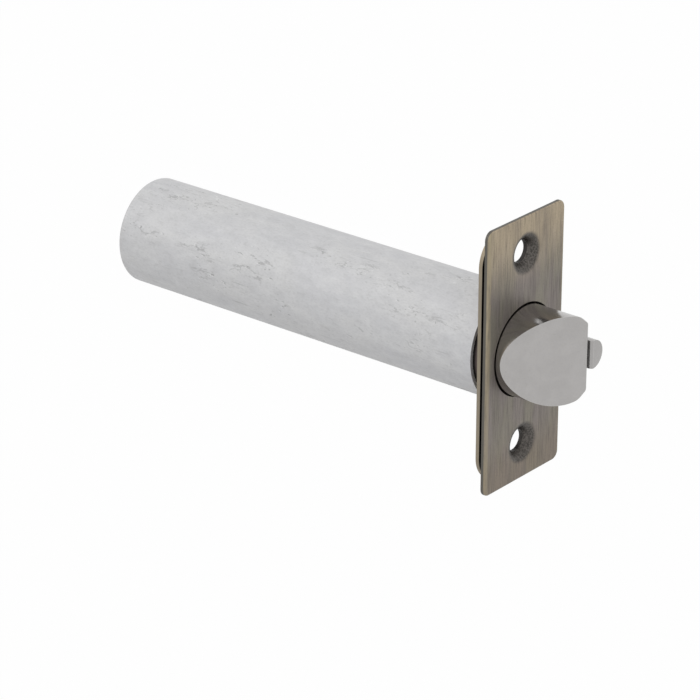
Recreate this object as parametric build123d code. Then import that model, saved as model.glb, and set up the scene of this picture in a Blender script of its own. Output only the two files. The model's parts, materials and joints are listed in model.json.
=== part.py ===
from build123d import *
import math
import os

# Extended-backset deadlatch. X runs out of the door edge along the bolt, Z is up,
# Y points to the guard plunger. The origin is the centre of the faceplate's front face.
# All lengths are millimetres.

# Latch bolt
bolt_r = 9.6
bolt_throw = 12.0
bolt_flat_y = 5.4
bolt_corner = 2.7
bolt_corner_r = 2.8
slant_foot = 0.95
slant_bulge = 0.7
nose_r = 0.4
flange_t = 3.4

# Plates
face_t = 0.85
face_h = 57.15
face_overhang = 0.5
face_corner_r = 1.8
face_edge_r = 0.35
plate_gap = 0.85
back_t = 0.9
back_inset = 1.8
back_margin = 0.4
back_corner_r = 6.3
screw_inset = 7.925
screw_hole_r = 2.4
sink_flare = 1.15
sink_rim_r = 2.5
dimple_wall = 0.8

# Tube and the neck that carries it
case_length = 100.3
tube_wall = 0.8
neck_wall = 0.85
neck_show = 2.05
neck_seat = 4.8
neck_root = 0.6

# Guard plunger
plunger_r = 3.07
plunger_lead = 0.25
plunger_gap = 0.7
plunger_side_gap = 0.23
plunger_edge = 0.5
plunger_travel = 11.0
plunger_catch = 1.0
foot_length = 1.5
leg_end = 4.0
pilot_r = 1.4
pilot_length = 2.5

# Deadlocking pawl
pawl_swing = 10.0
pawl_boss_r = 1.6
pawl_w = 5.4
pawl_arm = 10.9
pawl_front_arm = 2.9
pawl_t = 1.6
follower_arm = 9.1
follower_r = 0.8
wing_w = 10.4
wing_length = 2.2
wing_h = 2.6
pivot_setback = 5.5
pivot_below_leg = 1.9
pawl_pin_r = 0.9
cheek_t = 2.4
cheek_end = 3.0

# Tail
tail_w = 5.8
tail_t = 1.5
tail_pin_r = 1.2
tail_pin_setback = 3.0
tail_nose = 2.4
lost_motion = 2.0
lift_h = 0.9
lift_length = 1.4
lift_land = 0.6
lap_length = 7.0
joggle_length = 2.5
guide_recess = 0.6
tail_reach = 4.6
hook_w = 12.0
hook_length = 2.5
rivet_r = 1.2
rivet_head_r = 2.1
rivet_head_h = 0.9

# Pressed cups in the tube
cup_t = 1.2
cup_skirt = 3.0
cup_edge = 0.8

# Springs
bolt_spring_r = 2.8
bolt_spring_wire = 0.8
bolt_spring_turns = 6
plunger_spring_r = 1.9
plunger_spring_wire = 0.55
plunger_spring_turns = 7
plunger_spring_solid = 6.0
pawl_spring_wire = 0.45
pawl_spring_turns = 3
pawl_spring_z = 0.5
pawl_spring_leg = 6.0
pawl_spring_hole = 0.8
spring_floor = 3.0
wire_sides = 4

# Clearances
seat_gap = 0.05
bolt_gap = 0.3
stop_gap = 0.1
run_gap = 0.3
pin_gap = 0.05
follow_gap = 0.1
lock_gap = 0.5
pass_gap = 0.6

# Radii from the bolt outward
neck_in_r = bolt_r + bolt_gap
neck_out_r = neck_in_r + neck_wall
tube_in_r = neck_out_r + seat_gap
tube_r = tube_in_r + tube_wall
flange_r = tube_in_r - run_gap
cup_r = tube_in_r - seat_gap
back_w = 2 * (tube_r + back_margin)
back_h = face_h - 2 * back_inset
face_w = back_w + 2 * face_overhang
screw_pitch = face_h - 2 * screw_inset
sink_r = screw_hole_r + sink_flare

# Stations along X from the front face back to the tail
face_rear = -face_t
back_front = face_rear - plate_gap
back_rear = back_front - back_t
tube_front = back_rear - neck_show
neck_rear = tube_front - neck_seat
flange_front = neck_rear - stop_gap
flange_rear = flange_front - flange_t
pivot_x = flange_rear - pivot_setback
pawl_rear = pivot_x - pawl_arm
follower_x = pivot_x - follower_arm
cheek_rear = pivot_x - cheek_end
lock_front = pawl_rear - lock_gap
lock_rear = lock_front - cup_t
leg_front = flange_rear - stop_gap
leg_rear = lock_rear - leg_end
seat_front = leg_rear - bolt_throw - plunger_travel - plunger_spring_solid
tail_pin_x = flange_rear + tail_pin_setback
tail_front = tail_pin_x + tail_pin_r + pin_gap + lost_motion + tail_nose
lap_front = seat_front - cup_t - cup_skirt - pass_gap
lap_rear = lap_front - lap_length
joggle_rear = lap_rear - joggle_length
tube_rear = -case_length
guide_front = tube_rear + guide_recess + cup_skirt + cup_t
hook_rear = tube_rear - tail_reach

# Heights across the works
plunger_flat_y = bolt_flat_y + plunger_gap
plunger_y = neck_in_r - plunger_side_gap - plunger_r
leg_flat_y = bolt_flat_y - plunger_catch
pivot_y = leg_flat_y - pivot_below_leg
wing_top_y = leg_flat_y - lock_gap
cheek_z = pawl_w / 2 + run_gap
cheek_top_y = leg_flat_y - run_gap
ledge_y = cheek_top_y + run_gap
cheek_low_y = -tail_t / 2 - pass_gap
spring_bore_r = bolt_spring_r + bolt_spring_wire / 2 + run_gap
spring_y = cheek_low_y - pass_gap - spring_bore_r
spring_front = slant_foot - spring_floor
plunger_spring_y = plunger_y + run_gap
pawl_pin_length = 2 * (cheek_z + cheek_t)
pawl_spring_r = pawl_pin_r + 2 * pin_gap + pawl_spring_wire / 2
pawl_spring_length = (pawl_spring_turns + 1) * pawl_spring_wire + 2 * pin_gap
ramp_rise = follower_arm * math.sin(math.radians(pawl_swing)) + follow_gap


def rod(radius, start, end):
    """Round bar between two points."""
    axis = Vector(*end) - Vector(*start)
    return extrude(Plane(origin=start, z_dir=axis) * Circle(radius), axis.length)


def x_rod(radius, x0, x1, y=0.0, z=0.0):
    """Round bar along X."""
    return rod(radius, (x0, y, z), (x1, y, z))


def y_rod(radius, x, y_span):
    """Round bar along Y through the middle plane."""
    return rod(radius, (x, y_span[0], 0), (x, y_span[1], 0))


def z_rod(radius, x, y, z_span):
    """Round bar along Z."""
    return rod(radius, (x, y, z_span[0]), (x, y, z_span[1]))


def x_cone(radius0, x0, radius1, x1, z):
    """Cone frustum along X at a height."""
    seat = Plane(origin=(x0, 0, z), z_dir=(1, 0, 0))
    return seat * Cone(radius0, radius1, x1 - x0, align=(Align.CENTER, Align.CENTER, Align.MIN))


def block(x_span, y_span, z_span):
    """Box between pairs of coordinates."""
    spans = (x_span, y_span, z_span)
    centre = [sum(span) / 2 for span in spans]
    sides = [abs(span[1] - span[0]) for span in spans]
    return Pos(*centre) * Box(*sides)


def middle(width):
    """Span of a width centred on zero."""
    return (-width / 2, width / 2)


def x_prism(section, x0, x1):
    """Section in Y and Z carried along X."""
    return extrude(Plane.YZ.offset(x0) * section, x1 - x0)


def z_prism(points, width):
    """Closed outline in X and Y, extruded evenly about Z zero."""
    return extrude(make_face(Polyline(*points, close=True)), width / 2, both=True)


def coil(radius, wire, turns, length):
    """Helical spring along Z from zero, of flat-sided wire, with its ends inside the length."""
    height = length - wire
    path = Pos(0, 0, wire / 2) * Helix(height / turns, height, radius)
    section = Plane(origin=path @ 0, z_dir=path % 0) * RegularPolygon(wire / 2, wire_sides)
    return sweep(section, path, is_frenet=True)


def x_coil(radius, wire, turns, x0, x1, y):
    """Helical spring along X between two seats."""
    return Plane(origin=(x0, y, 0), z_dir=(1, 0, 0)) * coil(radius, wire, turns, x1 - x0)


def screw_heights():
    return (-screw_pitch / 2, screw_pitch / 2)


def make_faceplate():
    plate = extrude(Plane.YZ * RectangleRounded(face_w, face_h, face_corner_r), -face_t)
    plate = fillet(plate.faces().sort_by(Axis.X)[-1].edges(), face_edge_r)
    for z in screw_heights():
        plate += x_cone(screw_hole_r + dimple_wall, back_front, sink_r + dimple_wall, face_rear, z)
        plate -= x_cone(screw_hole_r, back_front, sink_r, 0, z)
    front_circles = plate.edges().filter_by(GeomType.CIRCLE).group_by(Axis.X)[-1]
    plate = fillet(front_circles.sort_by(SortBy.RADIUS)[-2:], sink_rim_r)
    return plate - x_rod(neck_in_r, face_rear, 0)


def make_backplate():
    outline = RectangleRounded(back_w, back_h, back_corner_r)
    plate = x_prism(outline, back_rear, back_front) + x_rod(neck_out_r, neck_rear, back_rear)
    neck_circles = plate.edges().filter_by(GeomType.CIRCLE).sort_by(SortBy.RADIUS)[-2:]
    plate = chamfer(neck_circles.sort_by(Axis.X)[-1:], neck_root)
    for z in screw_heights():
        plate -= x_rod(screw_hole_r, back_rear, back_front, z=z)
    return plate - x_rod(neck_in_r, neck_rear, back_front)


def make_tube():
    return x_rod(tube_r, tube_rear, tube_front) - x_rod(tube_in_r, tube_rear, tube_front)


def d_blank(radius, flat_y):
    """Square around a disc, cut short at the flat side."""
    return Pos((flat_y - radius) / 2, 0) * Rectangle(flat_y + radius, 2 * radius)


def d_section(radius, flat_y):
    """Disc with one side cut flat."""
    return Circle(radius) & d_blank(radius, flat_y)


def bolt_section():
    """Flat-sided disc with its two corners bevelled and softened."""
    blank = d_blank(bolt_r, bolt_flat_y)
    blank = chamfer(blank.vertices().sort_by(Axis.X)[-2:], bolt_corner)
    section = Circle(bolt_r) & blank
    return fillet(section.vertices(), bolt_corner_r)


def make_latch_bolt():
    head = x_prism(bolt_section(), flange_rear, bolt_throw)
    foot = Vector(slant_foot, -bolt_r)
    nose = Vector(bolt_throw, bolt_flat_y)
    chord = nose - foot
    crown = (foot + nose) * 0.5 + Vector(chord.Y, -chord.X).normalized() * slant_bulge
    slant = make_face(
        [
            ThreePointArc(foot, crown, nose),
            Line(nose, (flange_rear, bolt_flat_y)),
            Line((flange_rear, bolt_flat_y), (flange_rear, -flange_r)),
            Line((flange_rear, -flange_r), (slant_foot, -flange_r)),
            Line((slant_foot, -flange_r), foot),
        ]
    )
    tip = slant.vertices().sort_by(Axis.X)[-1]
    head &= extrude(fillet(tip, nose_r), flange_r, both=True)
    bolt = head + x_prism(d_section(flange_r, bolt_flat_y), flange_rear, flange_front)
    for side in (-1, 1):
        z_span = (side * cheek_z, side * (cheek_z + cheek_t))
        bolt += block((cheek_rear, flange_rear), (cheek_low_y, cheek_top_y), z_span)
    bolt -= x_rod(spring_bore_r, flange_rear, spring_front, y=spring_y)
    pocket_x = (flange_rear, tail_front + run_gap)
    bolt -= block(pocket_x, middle(tail_t + 2 * run_gap), middle(tail_w + 2 * run_gap))
    bolt -= z_rod(pawl_pin_r + pin_gap, pivot_x, pivot_y, middle(pawl_pin_length))
    spring_hole = x_rod(
        pawl_spring_wire / 2 + 2 * pin_gap, flange_rear, flange_rear + pawl_spring_hole + run_gap,
        y=pivot_y - pawl_spring_r, z=pawl_spring_z + pawl_spring_length - pawl_spring_wire / 2,
    )
    return bolt - spring_hole - y_rod(tail_pin_r + pin_gap, tail_pin_x, (cheek_low_y, bolt_flat_y))


def make_tail_pin():
    return y_rod(tail_pin_r, tail_pin_x, (cheek_low_y, bolt_flat_y - run_gap))


def make_pawl_pin():
    return z_rod(pawl_pin_r, pivot_x, pivot_y, middle(pawl_pin_length))


def make_deadlock_plunger():
    tip = bolt_throw + plunger_lead
    head = x_rod(plunger_r, leg_front, tip, y=plunger_y)
    head -= block((leg_front, tip), (plunger_y - plunger_r, plunger_flat_y), middle(2 * plunger_r))
    flat_edge = head.faces().sort_by(Axis.X)[-1].edges().sort_by(Axis.Y)[0]
    head = chamfer(flat_edge, plunger_edge)
    leg = x_rod(plunger_r, leg_rear, leg_front, y=plunger_y)
    leg -= block((leg_rear, leg_front), (plunger_y - plunger_r, leg_flat_y), middle(2 * plunger_r))
    ramp_top = leg_flat_y + ramp_rise
    foot_rear = leg_front - foot_length
    ramp = [
        (follower_x, leg_flat_y),
        (follower_x + plunger_travel, ramp_top),
        (foot_rear, ramp_top),
        (foot_rear, leg_flat_y - plunger_r),
        (follower_x, leg_flat_y - plunger_r),
    ]
    leg -= z_prism(ramp, 2 * plunger_r)
    return head + leg + x_rod(pilot_r, leg_rear - pilot_length, leg_rear, y=plunger_spring_y)


def make_deadlock_pawl():
    arm_top = pivot_y + pin_gap
    arm_low = arm_top - pawl_t
    follower_y = leg_flat_y - follow_gap - follower_r
    follower_span = middle(pawl_w - 2 * run_gap)
    lever = [
        (pivot_x + pawl_front_arm, pivot_y + pawl_boss_r / 2),
        (pivot_x + pawl_front_arm, pivot_y - pin_gap),
        (pivot_x, pivot_y - pawl_boss_r),
        (pawl_rear, arm_low),
        (pawl_rear, arm_top),
        (pivot_x, pivot_y + pawl_boss_r),
    ]
    pawl = z_prism(lever, pawl_w) + z_rod(pawl_boss_r, pivot_x, pivot_y, middle(pawl_w))
    pawl += z_rod(follower_r, follower_x, follower_y, follower_span)
    pawl += block((follower_x - follower_r, follower_x + follower_r), (arm_low, follower_y), follower_span)
    pawl += block((pawl_rear, pawl_rear + wing_length), (wing_top_y - wing_h, wing_top_y), middle(wing_w))
    recess_r = pawl_spring_r + pawl_spring_wire / 2 + 2 * pin_gap
    recess_z = pawl_spring_z - 2 * pin_gap
    recess_span = (recess_z, pawl_w / 2)
    pawl -= z_rod(recess_r, pivot_x, pivot_y, recess_span)
    boss_span = (pivot_y - pawl_boss_r, pivot_y + pawl_boss_r)
    pawl -= block((pivot_x, pivot_x + pawl_front_arm), boss_span, recess_span)
    groove_top = pivot_y - pawl_spring_r + pawl_spring_wire / 2 + pin_gap
    groove_z = (recess_z, pawl_spring_z + pawl_spring_wire + 2 * pin_gap)
    groove_rear = pivot_x - pawl_spring_leg - 2 * pin_gap
    pawl -= block((groove_rear, pivot_x), (pivot_y - pawl_boss_r, groove_top), groove_z)
    return pawl - z_rod(pawl_pin_r + pin_gap, pivot_x, pivot_y, middle(pawl_w))


def make_pawl_spring():
    turns = coil(pawl_spring_r, pawl_spring_wire, pawl_spring_turns, pawl_spring_length)
    spring = Pos(pivot_x, pivot_y, pawl_spring_z) * Rotation(0, 0, -90) * turns
    wire = RegularPolygon(pawl_spring_wire / 2, wire_sides)
    leg_y = pivot_y - pawl_spring_r
    rear_z = pawl_spring_z + pawl_spring_wire / 2
    front_z = rear_z + pawl_spring_length - pawl_spring_wire
    rear_leg = x_prism(Pos(leg_y, rear_z) * wire, pivot_x - pawl_spring_leg, pivot_x)
    front_leg = x_prism(Pos(leg_y, front_z) * wire, pivot_x, flange_rear + pawl_spring_hole)
    return spring + rear_leg + front_leg


def make_latch_tail():
    strip = block((lap_rear + run_gap, tail_front), middle(tail_t), middle(tail_w))
    slot_front = tail_pin_x + lost_motion
    slot_r = tail_pin_r + pin_gap
    for x in (tail_pin_x, slot_front):
        strip -= y_rod(slot_r, x, middle(tail_t))
    strip -= block((tail_pin_x, slot_front), middle(tail_t), middle(2 * slot_r))
    lift_rear = pivot_x + pawl_front_arm + run_gap
    top = tail_t / 2
    lift = [
        (lift_rear, top),
        (lift_rear + lift_length, top + lift_h),
        (lift_rear + lift_length + lift_land, top + lift_h),
        (lift_rear + lift_length + lift_land, top),
    ]
    lift_w = tail_w / 2 - run_gap
    strip += Pos(0, 0, -lift_w / 2) * z_prism(lift, lift_w)
    for x in rivet_stations():
        strip -= y_rod(rivet_r + pin_gap, x, middle(tail_t))
    return strip


def make_extension_link():
    low = -3 * tail_t / 2
    joint = -tail_t / 2
    top = tail_t / 2
    side = [
        (lap_front, low),
        (lap_rear, low),
        (joggle_rear, joint),
        (hook_rear, joint),
        (hook_rear, top),
        (joggle_rear, top),
        (lap_rear, joint),
        (lap_front, joint),
    ]
    link = z_prism(side, tail_w)
    link += block((hook_rear, hook_rear + hook_length), middle(tail_t), middle(hook_w))
    for x in rivet_stations():
        link -= y_rod(rivet_r + pin_gap, x, (low, joint))
    return link


def rivet_stations():
    return (lap_rear + lap_length / 4, lap_front - lap_length / 4)


def make_link_rivets():
    low = -3 * tail_t / 2
    top = tail_t / 2
    rivets = []
    for x in rivet_stations():
        rivet = y_rod(rivet_r, x, (low, top))
        rivet += y_rod(rivet_head_r, x, (low - rivet_head_h, low))
        rivet += y_rod(rivet_head_r, x, (top, top + rivet_head_h))
        rivets.append(rivet)
    return Compound(children=rivets)


def cup(front):
    """Drawn cup pressed into the tube, closed at its front, skirt to the rear."""
    rear = front - cup_t - cup_skirt
    shell = x_rod(cup_r, rear, front)
    shell = chamfer(shell.faces().sort_by(Axis.X)[-1].edges(), cup_edge)
    return shell - x_rod(cup_r - cup_t, rear, front - cup_t)


def tail_window(front):
    """Slot in a cup that the flat tail slides through."""
    return block((front - cup_t, front), middle(tail_t + 2 * run_gap), middle(tail_w + 2 * run_gap))


def make_lock_plate():
    rear = lock_rear - cup_skirt
    plate = cup(lock_front)
    window_z = middle(2 * (cheek_z + cheek_t + run_gap))
    plate -= block((lock_rear, lock_front), (cheek_low_y - run_gap, ledge_y), window_z)
    slot_r = plunger_r + run_gap
    plate -= block((rear, lock_front), (ledge_y - run_gap, plunger_y), middle(2 * slot_r))
    return plate - x_rod(slot_r, rear, lock_front, y=plunger_y)


def make_spring_seat():
    seat = cup(seat_front) - tail_window(seat_front)
    return seat + x_rod(pilot_r, seat_front - cup_t, seat_front + pilot_length, y=plunger_spring_y)


def make_tail_guide():
    return cup(guide_front) - tail_window(guide_front)


def make_bolt_spring():
    return x_coil(bolt_spring_r, bolt_spring_wire, bolt_spring_turns, lock_front, spring_front, spring_y)


def make_plunger_spring():
    return x_coil(
        plunger_spring_r, plunger_spring_wire, plunger_spring_turns, seat_front, leg_rear, plunger_spring_y
    )


pieces = {
    "faceplate": make_faceplate,
    "backplate": make_backplate,
    "tube": make_tube,
    "latch_bolt": make_latch_bolt,
    "bolt_spring": make_bolt_spring,
    "deadlock_plunger": make_deadlock_plunger,
    "plunger_spring": make_plunger_spring,
    "deadlock_pawl": make_deadlock_pawl,
    "pawl_pin": make_pawl_pin,
    "pawl_spring": make_pawl_spring,
    "lock_plate": make_lock_plate,
    "spring_seat": make_spring_seat,
    "tail_guide": make_tail_guide,
    "latch_tail": make_latch_tail,
    "tail_pin": make_tail_pin,
    "extension_link": make_extension_link,
    "link_rivets": make_link_rivets,
}

os.makedirs("parts", exist_ok=True)
for name, make in pieces.items():
    export_step(make(), os.path.join("parts", name + ".step"))
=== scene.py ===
import json
import math

import bmesh
import bpy
from mathutils import Matrix, Vector


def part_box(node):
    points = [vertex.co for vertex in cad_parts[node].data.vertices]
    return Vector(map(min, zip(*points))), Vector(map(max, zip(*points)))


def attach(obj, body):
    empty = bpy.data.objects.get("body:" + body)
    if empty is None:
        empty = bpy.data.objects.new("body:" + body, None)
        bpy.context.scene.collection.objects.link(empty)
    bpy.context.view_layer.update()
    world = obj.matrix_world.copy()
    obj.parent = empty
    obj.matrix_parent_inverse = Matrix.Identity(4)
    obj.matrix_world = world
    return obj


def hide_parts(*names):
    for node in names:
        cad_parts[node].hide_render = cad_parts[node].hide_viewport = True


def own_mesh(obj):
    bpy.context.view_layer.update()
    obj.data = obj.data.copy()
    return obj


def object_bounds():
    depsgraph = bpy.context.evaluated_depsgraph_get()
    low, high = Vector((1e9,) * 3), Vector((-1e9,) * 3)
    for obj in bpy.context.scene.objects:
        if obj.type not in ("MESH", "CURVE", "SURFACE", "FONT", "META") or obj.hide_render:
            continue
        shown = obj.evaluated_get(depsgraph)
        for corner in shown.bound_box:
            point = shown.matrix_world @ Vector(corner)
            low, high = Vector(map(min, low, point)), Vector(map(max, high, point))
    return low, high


# Looks of the deadlatch. The frame is in metres: X out of the door edge along the bolt,
# Z up, Y to the guard plunger, origin at the centre of the faceplate's front face.
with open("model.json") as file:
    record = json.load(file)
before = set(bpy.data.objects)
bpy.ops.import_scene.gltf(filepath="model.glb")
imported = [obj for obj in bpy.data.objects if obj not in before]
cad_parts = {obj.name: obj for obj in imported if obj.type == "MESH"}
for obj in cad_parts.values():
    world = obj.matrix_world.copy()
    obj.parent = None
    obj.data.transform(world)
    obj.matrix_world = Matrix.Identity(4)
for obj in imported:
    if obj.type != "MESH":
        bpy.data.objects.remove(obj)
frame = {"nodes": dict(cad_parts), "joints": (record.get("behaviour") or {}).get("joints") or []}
cad_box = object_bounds()
nodes = frame["nodes"]
MM = 0.001

# Camera at the photograph's viewing angle
CAMERA_AZIMUTH = math.radians(39.778)
CAMERA_ELEVATION = math.radians(23.938)
CAMERA_DISTANCE = 0.640
CAMERA_TARGET = Vector((-27.592, -21.257, -0.778)) * MM
CAMERA_LENS = 164.366
CAMERA_SENSOR = 36.0

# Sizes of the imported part, in millimetres
BACKPLATE_THICKNESS = 0.9
SCREW_PITCH = 41.3
SCREW_HOLE_RADIUS = 2.4
DISH_RADIUS = 4.9
BOLT_RADIUS = 9.6
BOLT_THROW = 12.0
BOLT_FLAT = 5.4
SLANT_FOOT = 0.95
SLANT_BULGE = 0.7
NOSE_DEPTH = 0.7
BOLT_SPRING_WIRE = 0.8
PLUNGER_SPRING_WIRE = 0.55

# Fuller slant of the bolt, in millimetres, and how its mesh is cut and shaded
FULL_FOOT = 1.2
FULL_BULGE = 1.35
SLANT_STRIPS = 30
WELD_DISTANCE = 0.001
CUT_TOLERANCE = 0.0001
SHARP_ANGLE = math.radians(24.0)

# Springs
SPRING_TURNS = 10
STEPS_PER_TURN = 28
WIRE_SIDES = 10

# Where the faceplate is lighter, warmer or darker, and where its rims carry painted highlight, in
# millimetres, each span from weak to full
LIGHTER_TOP = (12.0, 27.0)
WARM_FOOT = (-15.0, -26.0)
LEFT_RIM_INSET = (1.5, 0.7)
RIGHT_RIM_INSET = (1.0, 0.3)
RIM_FADE = (-20.0, 15.0)
SIDE_DEPTH = (-0.14, -0.30)
DISH_EDGE = (DISH_RADIUS - 0.1, DISH_RADIUS - 1.1)

# Where the backplate is darkened, with painted shade on its front between the plates and at the neck's end:
# depths behind its front or rear face, and radii at the holes
GAP_DEPTH = (0.12, 0.02)
NECK_ROOT_DEPTH = (0.05, 0.35)
NECK_END_DEPTH = (1.1, 1.8)
HOLE_EDGE = (SCREW_HOLE_RADIUS + 0.20, SCREW_HOLE_RADIUS + 0.05)

# Step from a dent in the tube to its lit rim, where a painted highlight goes, in millimetres
LIT_SIDE = (0.15, 0.0, 0.22)

# Marks between which most values of a noise lie
NOISE_SPAN = (0.3, 0.7)

# Zinc plating of the tube
ZINC = {
    "blue_grey": (0.566, 0.567, 0.580, 1.0),
    "grey": (0.609, 0.608, 0.610, 1.0),
    "bright": (0.690, 0.690, 0.695, 1.0),
    "dull": (0.420, 0.420, 0.425, 1.0),
    "grain": (0.36, 0.36, 0.36, 1.0),
    "score": (0.26, 0.26, 0.26, 1.0),
    "crinkle": (0.28, 0.28, 0.28, 1.0),
    # painted highlight on the lit rim of each dent
    "lit_rim_highlight": (0.74, 0.74, 0.74, 1.0),
    # painted shade inside each dent
    "pit_shade": (0.22, 0.22, 0.22, 1.0),
}
ZINC_METALLIC = 0.35
ZINC_ROUGHNESS = (0.54, 0.62)

# Patinated brass of the two plates
BRASS = {
    "brown": (0.250, 0.222, 0.206, 1.0),
    "olive": (0.248, 0.229, 0.190, 1.0),
    # lighter, yellower tone towards the top
    "lightened": (0.480, 0.395, 0.275, 1.0),
    "warm": (0.252, 0.205, 0.150, 1.0),
    "broad_streak": (0.150, 0.132, 0.122, 1.0),
    "dark_streak": (0.100, 0.088, 0.080, 1.0),
    "light_streak": (0.420, 0.360, 0.280, 1.0),
    "grain": (0.110, 0.098, 0.090, 1.0),
    # painted highlight along the long rims
    "rim_highlight": (0.385, 0.325, 0.225, 1.0),
    "side": (0.125, 0.118, 0.104, 1.0),
    "dish": (0.065, 0.060, 0.055, 1.0),
    "dish_speckle": (0.150, 0.137, 0.125, 1.0),
    "tan": (0.300, 0.255, 0.185, 1.0),
    # painted shade on the front face between the plates
    "gap_shade": (0.012, 0.011, 0.010, 1.0),
    "neck_root": (0.120, 0.094, 0.088, 1.0),
    # painted shade where the neck goes into the tube
    "neck_end_shade": (0.020, 0.016, 0.017, 1.0),
    "hole": (0.045, 0.041, 0.038, 1.0),
}
BRASS_METALLIC = 0.9
FACEPLATE_ROUGHNESS = (0.38, 0.52)
BACKPLATE_ROUGHNESS = (0.40, 0.55)
TAN_SHARE = 0.7

# Satin nickel of the bolt and the plunger
BOLT_TONE = 0.42
PLUNGER_TONE = 0.39
NICKEL_TINT = (1.0, 0.975, 0.955)
# Levels of each shade; the brightest level is for the painted highlight along the edges
NICKEL_LEVELS = {"dark": 0.97, "light": 1.03, "stain": 0.82, "lightened": 1.45}
NICKEL_ROUGHNESS = (0.14, 0.20)
FLAT_DULLNESS = 0.55
# Width and strength of the painted highlight along the edges of the bolt and the plunger
EDGE_RADIUS = 0.18
EDGE_HIGHLIGHT = 0.8

# Bare steel of the works and of the springs
PLAIN_STEEL = {"dark": (0.33, 0.33, 0.33, 1.0), "light": (0.44, 0.44, 0.43, 1.0), "rough": 0.34}
SPRING_STEEL = {"dark": (0.20, 0.20, 0.21, 1.0), "light": (0.31, 0.31, 0.31, 1.0), "rough": 0.28}
ROUGHNESS_SPREAD = 0.12

# Stage, in metres and watts
FLOOR_DROP = 0.040
FLOOR_SIZE = 8.0
FLOOR_COLOUR = (0.62, 0.62, 0.62, 1.0)
FLOOR_WHITE = 0.98
WORLD_COLOUR = (1.0, 1.0, 1.0, 1.0)
WORLD_STRENGTH = 0.90
WHITE_STRENGTH = 1.0
LAMP_PLACE = (-0.4, -1.0, 0.9)
LAMP_SIZE = 1.2
LAMP_POWER = 3.2


def new_material(name):
    """Empty principled material: the material, its node tree and its shader."""
    material = bpy.data.materials.new(name)
    material.use_nodes = True
    tree = material.node_tree
    shader = tree.nodes["Principled BSDF"]
    return material, tree, shader


def feed(tree, socket, value):
    """Set a socket to a value, or link it from another node's output."""
    if isinstance(value, bpy.types.NodeSocket):
        tree.links.new(value, socket)
    else:
        socket.default_value = value


def add(tree, kind, values=None, **settings):
    """Add a shader node, set its properties and input values or links."""
    node = tree.nodes.new("ShaderNode" + kind)
    for name, value in settings.items():
        setattr(node, name, value)
    for key, value in (values or {}).items():
        feed(tree, node.inputs[key], value)
    return node


def place_mm(tree, stretch=(1.0, 1.0, 1.0)):
    """Position on the object in millimetres, stretched along its axes."""
    coords = add(tree, "TexCoord")
    scale = tuple(factor / MM for factor in stretch)
    mapping = add(tree, "Mapping", {"Vector": coords.outputs["Object"], "Scale": scale})
    return mapping.outputs["Vector"]


def axis_value(tree, axis):
    """One coordinate on the object in millimetres."""
    split = add(tree, "SeparateXYZ", {"Vector": place_mm(tree)})
    return split.outputs[axis]


def noise(tree, vector, scale, detail=3.0, roughness=0.55):
    """Noise value from 0 to 1, with features per millimetre."""
    node = add(
        tree, "TexNoise",
        {"Vector": vector, "Scale": scale, "Detail": detail, "Roughness": roughness},
    )
    return node.outputs["Fac"]


def ramp(tree, value, low, high, to_low=0.0, to_high=1.0):
    """Smooth step of a value between two marks."""
    node = add(
        tree, "MapRange",
        {"Value": value, "From Min": low, "From Max": high, "To Min": to_low, "To Max": to_high},
        interpolation_type="SMOOTHSTEP",
    )
    return node.outputs["Result"]


def math_node(tree, operation, first, second=0.0):
    """One arithmetic step."""
    node = add(tree, "Math", {0: first, 1: second}, operation=operation)
    return node.outputs["Value"]


def times(tree, first, second):
    """Product of two values."""
    return math_node(tree, "MULTIPLY", first, second)


def vector_math(tree, operation, first, second, result="Vector"):
    """One step of vector arithmetic."""
    return add(tree, "VectorMath", {0: first, 1: second}, operation=operation).outputs[result]


def mix(tree, factor, first, second):
    """Mix of two colours."""
    node = add(tree, "Mix", data_type="RGBA")
    feed(tree, node.inputs["Factor"], factor)
    feed(tree, node.inputs["A"], first)
    feed(tree, node.inputs["B"], second)
    return next(socket for socket in node.outputs if socket.type == "RGBA")


def layered(tree, colour, layers):
    """Colour under layers, each laid on where a value crosses a span, up to a strength."""
    for value, span, strength, layer_colour in layers:
        colour = mix(tree, ramp(tree, value, *span, to_high=strength), colour, layer_colour)
    return colour


def bump(tree, height, strength, distance):
    """Normal from a height."""
    node = add(tree, "Bump", {"Height": height, "Strength": strength, "Distance": distance})
    return node.outputs["Normal"]


def set_surface(tree, shader, colour, metallic, roughness):
    """Give a shader its colour and roughness, and how metallic it is."""
    feed(tree, shader.inputs["Base Color"], colour)
    feed(tree, shader.inputs["Metallic"], metallic)
    feed(tree, shader.inputs["Roughness"], roughness)


def warped(tree, place, scale, amount):
    """Position pushed about by noise, by an amount in millimetres."""
    shift = add(tree, "TexNoise", {"Vector": place, "Scale": scale, "Detail": 2.0}).outputs["Color"]
    shift = vector_math(tree, "SUBTRACT", shift, (0.5, 0.5, 0.5))
    shift = vector_math(tree, "MULTIPLY", shift, (amount, amount, amount))
    return vector_math(tree, "ADD", place, shift)


def edges(tree, radius):
    """Mask of the sharp edges, within a radius in millimetres."""
    rounded = add(tree, "Bevel", {"Radius": radius * MM}, samples=4).outputs["Normal"]
    plain = add(tree, "NewGeometry").outputs["Normal"]
    alike = vector_math(tree, "DOT_PRODUCT", rounded, plain, result="Value")
    return ramp(tree, alike, 0.99, 0.88)


def facing(tree, side):
    """Mask of the flat faces that look along +Y for side 1, or along -Y for side -1."""
    normal = add(tree, "NewGeometry").outputs["Normal"]
    across = add(tree, "SeparateXYZ", {"Vector": normal}).outputs["Y"]
    return ramp(tree, times(tree, across, side), 0.90, 0.99)


def screw_distance(tree, y, z):
    """Distance from the nearer screw's axis in millimetres."""
    rise = math_node(tree, "SUBTRACT", math_node(tree, "ABSOLUTE", z), SCREW_PITCH / 2)
    squares = [times(tree, side, side) for side in (y, rise)]
    return math_node(tree, "SQRT", math_node(tree, "ADD", *squares))


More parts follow.
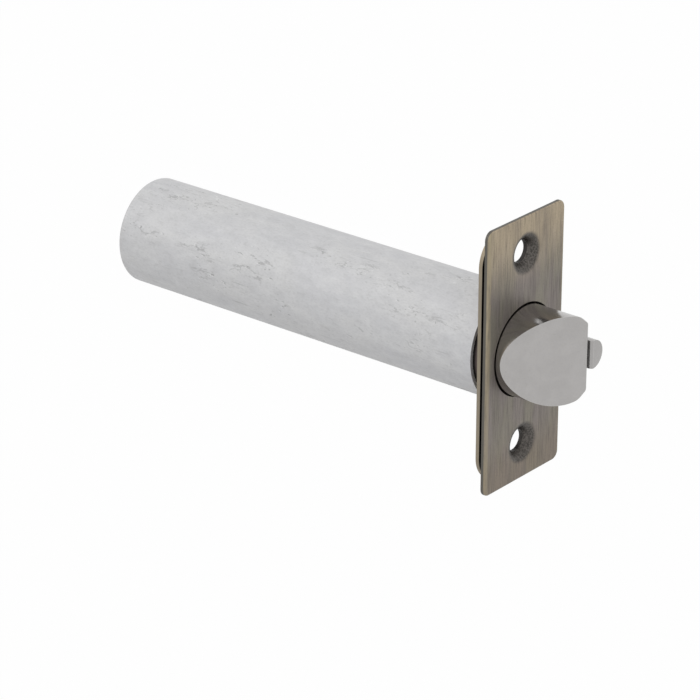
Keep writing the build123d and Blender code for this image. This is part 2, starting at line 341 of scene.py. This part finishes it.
def crinkles(tree, place):
    """Mask of thin broken lines that wander like creases."""
    value = noise(tree, place, scale=0.55, detail=4.0, roughness=0.62)
    off = math_node(tree, "ABSOLUTE", math_node(tree, "SUBTRACT", value, 0.5))
    kept = ramp(tree, noise(tree, place, scale=0.45, detail=2.0), 0.50, 0.60)
    return times(tree, ramp(tree, off, 0.034, 0.008), kept)


def pits(tree, place):
    """Mask of small ragged pits."""
    return ramp(tree, noise(tree, place, scale=1.5, roughness=0.6), 0.62, 0.70)


def scores(tree):
    """Mask of long drawing lines."""
    streaks = warped(tree, place_mm(tree, (0.06, 1.0, 1.0)), scale=0.5, amount=0.6)
    return ramp(tree, noise(tree, streaks, scale=1.4, detail=2.0), 0.66, 0.74)


def zinc_tube():
    """Dull zinc plating: faint clouds, fine grain, drawing lines, broken crinkles and clusters of pits, with
    painted shade inside each dent and a painted highlight on the lit rim beside it.
    """
    material, tree, shader = new_material("zinc_plated_tube")
    drawn = place_mm(tree, (0.5, 1.0, 1.0))
    clouds = noise(tree, drawn, scale=0.14, detail=4.0, roughness=0.6)
    mottle = noise(tree, drawn, scale=0.55, detail=4.0, roughness=0.65)
    grain = noise(tree, drawn, scale=3.0)
    colour = mix(tree, ramp(tree, clouds, *NOISE_SPAN), ZINC["blue_grey"], ZINC["grey"])
    colour = layered(tree, colour, (
        (mottle, (0.45, 0.70), 0.35, ZINC["bright"]),
        (mottle, (0.48, 0.28), 0.25, ZINC["dull"]),
        (grain, (0.40, 0.75), 0.22, ZINC["grain"]),
    ))
    score_zone = ramp(tree, noise(tree, drawn, scale=0.11, detail=2.0), 0.46, 0.58)
    rough_zone = ramp(tree, noise(tree, drawn, scale=0.13), 0.44, 0.62)
    score_mask = times(tree, scores(tree), score_zone)
    crinkle_mask = times(tree, crinkles(tree, place_mm(tree, (0.30, 1.0, 1.0))), rough_zone)
    # Painted highlight on the lit rim of each dent, and below it painted shade inside the dent
    lit_rim_mask = times(tree, pits(tree, vector_math(tree, "ADD", drawn, LIT_SIDE)), rough_zone)
    pit_mask = times(tree, pits(tree, drawn), rough_zone)
    marks = (
        (score_mask, 0.30, ZINC["score"]),
        (crinkle_mask, 0.50, ZINC["crinkle"]),
        (lit_rim_mask, 0.60, ZINC["lit_rim_highlight"]),
        (pit_mask, 0.55, ZINC["pit_shade"]),
    )
    for mask, strength, mark_colour in marks:
        colour = mix(tree, times(tree, mask, strength), colour, mark_colour)
    set_surface(tree, shader, colour, ZINC_METALLIC, ramp(tree, clouds, *NOISE_SPAN, *ZINC_ROUGHNESS))
    sunk = math_node(tree, "ADD", pit_mask, math_node(tree, "ADD", crinkle_mask, score_mask))
    relief = math_node(tree, "SUBTRACT", lit_rim_mask, sunk)
    height = math_node(tree, "ADD", times(tree, grain, 0.5), relief)
    feed(tree, shader.inputs["Normal"], bump(tree, height, strength=0.35, distance=0.05 * MM))
    return material


def brushed_brass(tree, z):
    """Colour and brushing of patinated brass, brushed up and down."""
    fine = noise(tree, place_mm(tree, (1.0, 1.0, 0.05)), scale=3.0, detail=4.0, roughness=0.65)
    broad = noise(tree, place_mm(tree, (1.0, 1.0, 0.10)), scale=0.55, roughness=0.6)
    grain = noise(tree, place_mm(tree, (1.0, 1.0, 0.50)), scale=5.0, detail=2.0)
    tint = noise(tree, place_mm(tree, (1.0, 1.0, 0.30)), scale=0.30, detail=2.0)
    colour = mix(tree, ramp(tree, tint, 0.35, 0.65), BRASS["brown"], BRASS["olive"])
    colour = layered(tree, colour, (
        # Lighter and yellower towards the top
        (z, LIGHTER_TOP, 0.82, BRASS["lightened"]),
        (z, WARM_FOOT, 0.60, BRASS["warm"]),
        (broad, (0.40, 0.75), 0.45, BRASS["broad_streak"]),
        (fine, (0.45, 0.78), 0.66, BRASS["dark_streak"]),
        (fine, (0.42, 0.25), 0.22, BRASS["light_streak"]),
        (grain, (0.50, 0.80), 0.45, BRASS["grain"]),
    ))
    return colour, fine


def rim_highlight_mask(tree, y, z):
    """Mask of the patches of painted highlight along the faceplate's two long rims."""
    half_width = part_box("faceplate")[1].y / MM
    left = ramp(tree, y, *(inset - half_width for inset in LEFT_RIM_INSET))
    right = ramp(tree, y, *(half_width - inset for inset in RIGHT_RIM_INSET), to_high=0.4)
    patches = noise(tree, place_mm(tree, (1.0, 1.0, 0.3)), scale=0.9)
    painted_highlight = times(tree, math_node(tree, "MAXIMUM", left, right), ramp(tree, patches, 0.30, 0.60, 0.45, 1.0))
    return times(tree, painted_highlight, ramp(tree, z, *RIM_FADE, 0.55, 1.0))


def antique_brass():
    """Faceplate: brushed brass under a brown patina, with painted highlight along the rims, dark in the
    recesses.
    """
    material, tree, shader = new_material("antique_brass")
    x, y, z = (axis_value(tree, axis) for axis in "XYZ")
    colour, fine = brushed_brass(tree, z)
    # Painted highlight along the two long rims, full on the left, weaker on the right and towards the bottom
    colour = mix(tree, rim_highlight_mask(tree, y, z), colour, BRASS["rim_highlight"])
    speckle = noise(tree, place_mm(tree), scale=2.6, roughness=0.7)
    dish_colour = mix(tree, ramp(tree, speckle, 0.35, 0.65), BRASS["dish"], BRASS["dish_speckle"])
    colour = layered(tree, colour, (
        (x, SIDE_DEPTH, 1.0, BRASS["side"]),
        (screw_distance(tree, y, z), DISH_EDGE, 1.0, dish_colour),
    ))
    set_surface(tree, shader, colour, BRASS_METALLIC, ramp(tree, fine, *NOISE_SPAN, *FACEPLATE_ROUGHNESS))
    feed(tree, shader.inputs["Normal"], bump(tree, fine, strength=0.12, distance=0.03 * MM))
    return material


def backplate_brass():
    """Backplate: tan brass edge, painted shade on its front between the plates, dark drawn neck with painted
    shade at its end, and dark screw holes.
    """
    material, tree, shader = new_material("backplate_brass")
    x, y, z = (axis_value(tree, axis) for axis in "XYZ")
    colour, fine = brushed_brass(tree, z)
    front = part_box("backplate")[1].x / MM
    rear = front - BACKPLATE_THICKNESS
    colour = mix(tree, TAN_SHARE, colour, BRASS["tan"])
    colour = layered(tree, colour, (
        # Painted shade on the front face, between the plates
        (x, [front - depth for depth in GAP_DEPTH], 1.0, BRASS["gap_shade"]),
        (x, [rear - depth for depth in NECK_ROOT_DEPTH], 1.0, BRASS["neck_root"]),
        # Painted shade at the neck's end, where it goes into the tube
        (x, [rear - depth for depth in NECK_END_DEPTH], 1.0, BRASS["neck_end_shade"]),
        (screw_distance(tree, y, z), HOLE_EDGE, 1.0, BRASS["hole"]),
    ))
    set_surface(tree, shader, colour, BRASS_METALLIC, ramp(tree, fine, *NOISE_SPAN, *BACKPLATE_ROUGHNESS))
    return material


def satin_nickel(name, tone, flat_side):
    """Satin nickel plating of a tone, with a painted highlight along its edges, and dull on the flat that
    faces +Y or -Y.
    """
    material, tree, shader = new_material(name)
    grain = noise(tree, place_mm(tree), scale=3.0, detail=4.0, roughness=0.6)
    clouds = noise(tree, place_mm(tree), scale=0.25, detail=2.0)
    shades = {
        shade: (*(tone * level * share for share in NICKEL_TINT), 1.0)
        for shade, level in NICKEL_LEVELS.items()
    }
    colour = mix(tree, ramp(tree, clouds, *NOISE_SPAN), shades["dark"], shades["light"])
    colour = layered(tree, colour, ((grain, (0.55, 0.75), 0.5, shades["stain"]),))
    # Painted highlight along the sharp edges
    colour = mix(tree, times(tree, edges(tree, EDGE_RADIUS), EDGE_HIGHLIGHT), colour, shades["lightened"])
    satin = ramp(tree, grain, *NOISE_SPAN, *NICKEL_ROUGHNESS)
    dull = times(tree, facing(tree, flat_side), FLAT_DULLNESS)
    set_surface(tree, shader, colour, 1.0, math_node(tree, "ADD", satin, dull))
    return material


def bare_steel(name, dark, light, rough):
    """Bare steel with faint stains."""
    material, tree, shader = new_material(name)
    stains = noise(tree, place_mm(tree), scale=0.9, detail=4.0, roughness=0.6)
    colour = mix(tree, ramp(tree, stains, *NOISE_SPAN), dark, light)
    roughness = ramp(tree, stains, *NOISE_SPAN, rough, rough + ROUGHNESS_SPREAD)
    set_surface(tree, shader, colour, 1.0, roughness)
    return material


def dress(material, *names):
    """Give CAD nodes a material."""
    for name in names:
        mesh = nodes[name].data
        mesh.materials.clear()
        mesh.materials.append(material)


def new_piece(name, points, faces, material):
    """Smooth mesh object in the scene, with its material."""
    mesh = bpy.data.meshes.new(name)
    mesh.from_pydata(points, [], faces)
    mesh.polygons.foreach_set("use_smooth", [True] * len(mesh.polygons))
    mesh.materials.append(material)
    piece = bpy.data.objects.new(name, mesh)
    bpy.context.scene.collection.objects.link(piece)
    return piece


def slant(y, foot_x, bulge):
    """Station of the bolt's slant at a given Y: an arc from its foot to its nose, in millimetres."""
    foot = Vector((foot_x, -BOLT_RADIUS))
    nose = Vector((BOLT_THROW, BOLT_FLAT))
    chord = nose - foot
    radius = chord.length_squared / (8 * bulge) + bulge / 2
    outward = Vector((chord.y, -chord.x)).normalized()
    centre = (foot + nose) / 2 - outward * (radius - bulge)
    return centre.x + math.sqrt(radius ** 2 - (y - centre.y) ** 2)


def on_slant(vertex):
    """Whether a point of the CAD bolt lies on its slant or its nose."""
    x, y = vertex.co.x / MM, vertex.co.y / MM
    return x > SLANT_FOOT / 2 and x > slant(y, SLANT_FOOT, SLANT_BULGE) - NOSE_DEPTH


def cut_slant(graph):
    """Cut the faces of the slant into strips across Y."""
    for strip in range(1, SLANT_STRIPS):
        y = -BOLT_RADIUS + (BOLT_FLAT + BOLT_RADIUS) * strip / SLANT_STRIPS
        faces = [face for face in graph.faces if all(on_slant(vertex) for vertex in face.verts)]
        geometry = {part for face in faces for part in (face, *face.edges, *face.verts)}
        bmesh.ops.bisect_plane(
            graph, geom=list(geometry), dist=CUT_TOLERANCE * MM,
            plane_co=(0, y * MM, 0), plane_no=(0, 1, 0),
        )


def fill_slant(graph):
    """Move the points of the slant out to its fuller arc, and carry the nose along."""
    for vertex in [vertex for vertex in graph.verts if on_slant(vertex)]:
        y = vertex.co.y / MM
        full = slant(y, FULL_FOOT, FULL_BULGE)
        if y < BOLT_FLAT - NOSE_DEPTH:
            vertex.co.x = full * MM
        else:
            vertex.co.x += (full - slant(y, SLANT_FOOT, SLANT_BULGE)) * MM


def make_bolt(metal):
    """Latch bolt with a fuller slant than the CAD bolt, and the rest of it as there."""
    graph = bmesh.new()
    graph.from_mesh(nodes["latch_bolt"].data)
    bmesh.ops.remove_doubles(graph, verts=graph.verts, dist=WELD_DISTANCE * MM)
    cut_slant(graph)
    fill_slant(graph)
    graph.verts.index_update()
    points = [vertex.co.copy() for vertex in graph.verts]
    faces = [[vertex.index for vertex in face.verts] for face in graph.faces]
    graph.free()
    bolt = new_piece("crowned_latch_bolt", points, faces, metal)
    bolt.data.set_sharp_from_angle(angle=SHARP_ANGLE)
    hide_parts("latch_bolt")
    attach(bolt, "bolt")


def make_coil(name, axis, ends, radius, wire, turns, metal):
    """Round-wire coil along X between two stations, in metres."""
    steps = turns * STEPS_PER_TURN
    lead = (ends[1] - ends[0]) / (2 * math.pi * turns * radius)
    points = []
    for step in range(steps + 1):
        share = step / steps
        turn = 2 * math.pi * turns * share
        outward = Vector((0.0, math.cos(turn), math.sin(turn)))
        middle = Vector((ends[0] + (ends[1] - ends[0]) * share, *axis)) + outward * radius
        forward = Vector((lead, -math.sin(turn), math.cos(turn))).normalized()
        across = forward.cross(outward)
        for side in range(WIRE_SIDES):
            angle = 2 * math.pi * side / WIRE_SIDES
            points.append(middle + (outward * math.cos(angle) + across * math.sin(angle)) * (wire / 2))
    start_cap = tuple(reversed(range(WIRE_SIDES)))
    end_cap = tuple(steps * WIRE_SIDES + side for side in range(WIRE_SIDES))
    faces = [start_cap, end_cap]
    for step in range(steps):
        for side in range(WIRE_SIDES):
            here = step * WIRE_SIDES + side
            beside = step * WIRE_SIDES + (side + 1) % WIRE_SIDES
            faces.append((here, beside, beside + WIRE_SIDES, here + WIRE_SIDES))
    return new_piece(name, points, faces, metal)


def travel(name):
    """How far a slide goes in from rest, in metres."""
    return -next(joint for joint in frame["joints"] if joint["name"] == name)["range_m"][0]


def spring_sizes(node, wire):
    """Axis, coil radius and the two ends of a CAD spring, in metres."""
    low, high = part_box(node)
    axis = ((low.y + high.y) / 2, (low.z + high.z) / 2)
    return axis, (high.z - low.z - wire) / 2, low.x, high.x


def make_bolt_spring(metal):
    """Bolt spring as a round-wire coil in place of the CAD spring, carried by the case."""
    wire = BOLT_SPRING_WIRE * MM
    axis, radius, rear, front = spring_sizes("bolt_spring", wire)
    ends = (rear + wire / 2, front - wire / 2)
    coil = make_coil("bolt_spring_coil", axis, ends, radius, wire, SPRING_TURNS, metal)
    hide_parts("bolt_spring")
    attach(coil, "case")
    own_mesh(coil)


def make_plunger_spring(metal):
    """Plunger spring in two lengths, split in the ratio of the bolt's and the plunger's travel: the rear one
    carried by the case, the front one by the bolt.
    """
    wire = PLUNGER_SPRING_WIRE * MM
    axis, radius, rear, front = spring_sizes("plunger_spring", wire)
    bolt_travel = travel("bolt_slide")
    plunger_travel = travel("plunger_slide")
    joint = rear + (front - rear) * bolt_travel / (bolt_travel + plunger_travel)
    lengths = (
        ("plunger_spring_rear", (rear + wire / 2, joint), "case", "bolt_slide", rear, joint),
        ("plunger_spring_front", (joint, front - wire / 2), "bolt", "plunger_slide", joint, front),
    )
    for name, ends, body, slide, start, stop in lengths:
        coil = make_coil(name, axis, ends, radius, wire, SPRING_TURNS // 2, metal)
        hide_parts("plunger_spring")
        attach(coil, body)
        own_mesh(coil)


def seen_directly(tree):
    """One for rays from the camera, from a mirror or through glass, else zero."""
    rays = add(tree, "LightPath").outputs
    seen = math_node(tree, "MAXIMUM", rays["Is Camera Ray"], rays["Is Glossy Ray"])
    return math_node(tree, "MAXIMUM", seen, rays["Is Transmission Ray"])


def floor_material():
    """Pale matt floor that is nearly white where it is seen."""
    material, tree, shader = new_material("floor")
    shader.inputs["Base Color"].default_value = FLOOR_COLOUR
    shader.inputs["Roughness"].default_value = 1.0
    shader.inputs["Specular IOR Level"].default_value = 0.0
    white = add(tree, "Emission", {"Color": WORLD_COLOUR, "Strength": WHITE_STRENGTH})
    surface = add(tree, "MixShader", {
        "Fac": times(tree, seen_directly(tree), FLOOR_WHITE),
        1: shader.outputs["BSDF"],
        2: white.outputs["Emission"],
    })
    tree.links.new(surface.outputs["Shader"], tree.nodes["Material Output"].inputs["Surface"])
    return material


def make_floor():
    """Plain pale floor below the part."""
    half = FLOOR_SIZE / 2
    height = cad_box[0][2] - FLOOR_DROP
    corners = [(-half, -half, height), (half, -half, height), (half, half, height), (-half, half, height)]
    mesh = bpy.data.meshes.new("floor")
    mesh.from_pydata(corners, [], [(0, 1, 2, 3)])
    mesh.materials.append(floor_material())
    floor = bpy.data.objects.new("floor", mesh)
    bpy.context.scene.collection.objects.link(floor)


def make_world():
    """Even white surroundings."""
    world = bpy.data.worlds.new("studio")
    world.use_nodes = True
    tree = world.node_tree
    background = tree.nodes["Background"]
    background.inputs["Color"].default_value = WORLD_COLOUR
    strength = ramp(tree, seen_directly(tree), 0.0, 1.0, WORLD_STRENGTH, WHITE_STRENGTH)
    feed(tree, background.inputs["Strength"], strength)
    bpy.context.scene.world = world


def make_lamp():
    """Soft square lamp aimed at the middle of the view."""
    light = bpy.data.lights.new("key", "AREA")
    light.shape = "SQUARE"
    light.size = LAMP_SIZE
    light.energy = LAMP_POWER
    lamp = bpy.data.objects.new("key", light)
    lamp.location = LAMP_PLACE
    lamp.rotation_euler = (CAMERA_TARGET - Vector(LAMP_PLACE)).to_track_quat("-Z", "Y").to_euler()
    bpy.context.scene.collection.objects.link(lamp)


def make_camera():
    """Camera at the photograph's angle and distance."""
    data = bpy.data.cameras.new("camera")
    data.lens = CAMERA_LENS
    data.sensor_width = CAMERA_SENSOR
    camera = bpy.data.objects.new("camera", data)
    level = math.cos(CAMERA_ELEVATION)
    back = Vector((
        math.sin(CAMERA_AZIMUTH) * level,
        -math.cos(CAMERA_AZIMUTH) * level,
        math.sin(CAMERA_ELEVATION),
    ))
    right = Vector((math.cos(CAMERA_AZIMUTH), math.sin(CAMERA_AZIMUTH), 0.0))
    up = back.cross(right)
    turn = Matrix((right, up, back)).transposed().to_4x4()
    camera.matrix_world = Matrix.Translation(CAMERA_TARGET + back * CAMERA_DISTANCE) @ turn
    bpy.context.scene.collection.objects.link(camera)
    bpy.context.scene.camera = camera


# Finishes of the CAD nodes
bolt_metal = satin_nickel("satin_bolt", BOLT_TONE, flat_side=1)
plunger_metal = satin_nickel("satin_plunger", PLUNGER_TONE, flat_side=-1)
plain_steel = bare_steel("plain_steel", **PLAIN_STEEL)
spring_steel = bare_steel("spring_steel", **SPRING_STEEL)
dress(zinc_tube(), "tube")
dress(antique_brass(), "faceplate")
dress(backplate_brass(), "backplate")
dress(bolt_metal, "latch_bolt")
dress(plunger_metal, "deadlock_plunger")
dress(
    plain_steel,
    "lock_plate", "spring_seat", "tail_guide", "latch_tail", "extension_link", "link_rivets",
    "tail_pin", "pawl_pin", "deadlock_pawl",
)
dress(spring_steel, "pawl_spring")

# Pieces that replace CAD nodes
make_bolt(bolt_metal)
make_bolt_spring(spring_steel)
make_plunger_spring(spring_steel)

# Stage, light and camera
make_floor()
make_world()
make_lamp()
make_camera()
bpy.context.scene.view_settings.view_transform = "Standard"
